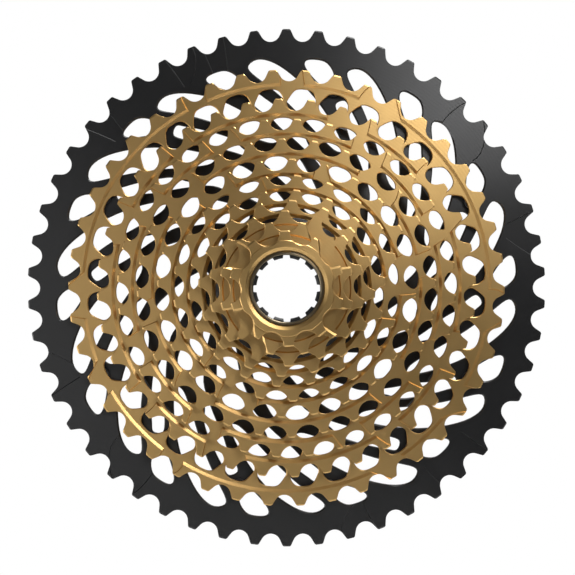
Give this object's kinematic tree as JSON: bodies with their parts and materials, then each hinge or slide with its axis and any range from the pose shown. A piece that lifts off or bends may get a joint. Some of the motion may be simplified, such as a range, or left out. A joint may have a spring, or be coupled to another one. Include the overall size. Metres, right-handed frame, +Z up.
{
  "type": "cassette sprocket",
  "caption": "Stepped bicycle cassette: gold steel sprockets with pierced webs, a large black alloy sprocket with a spiral spider and splined hub, and a turning lockring tube.",
  "frame": {"origin": "on the axle line at the hub's back seat, the plane that rests on the shoulder of the wheel's driver", "axes": "+Y along the axle towards the wheel, -Y towards the smallest sprocket, +Z up, +X to the right seen from the smallest sprocket"},
  "size_m": [0.204, 0.0437, 0.2042],
  "materials": {
    "gold_steel": "satin machined steel with a gold nitride coating",
    "black_alloy": "satin black anodised alloy",
    "black_tube": "black anodised alloy, turned",
    "pin_steel": "bright ground steel",
    "ring_steel": "phosphated spring steel"
  },
  "bodies": {
    "cluster": {"sprocket_50t": "black_alloy", "sprocket_42t": "gold_steel", "sprocket_36t": "gold_steel", "sprocket_32t": "gold_steel", "sprocket_28t": "gold_steel", "sprocket_24t": "gold_steel", "sprocket_21t": "gold_steel", "sprocket_18t": "gold_steel", "sprocket_16t": "gold_steel", "sprocket_14t": "gold_steel", "sprocket_12t": "gold_steel", "sprocket_10t": "gold_steel", "drive_pins": "pin_steel"},
    "lockring": {"lockring_tube": "black_tube", "retaining_ring": "ring_steel"}
  },
  "joints": [
    {"name": "lockring_spin", "type": "hinge", "parent": "cluster", "child": "lockring", "pos_m": [0, -0.0385, 0], "axis": [0, 1, 0], "continuous": true}
  ]
}
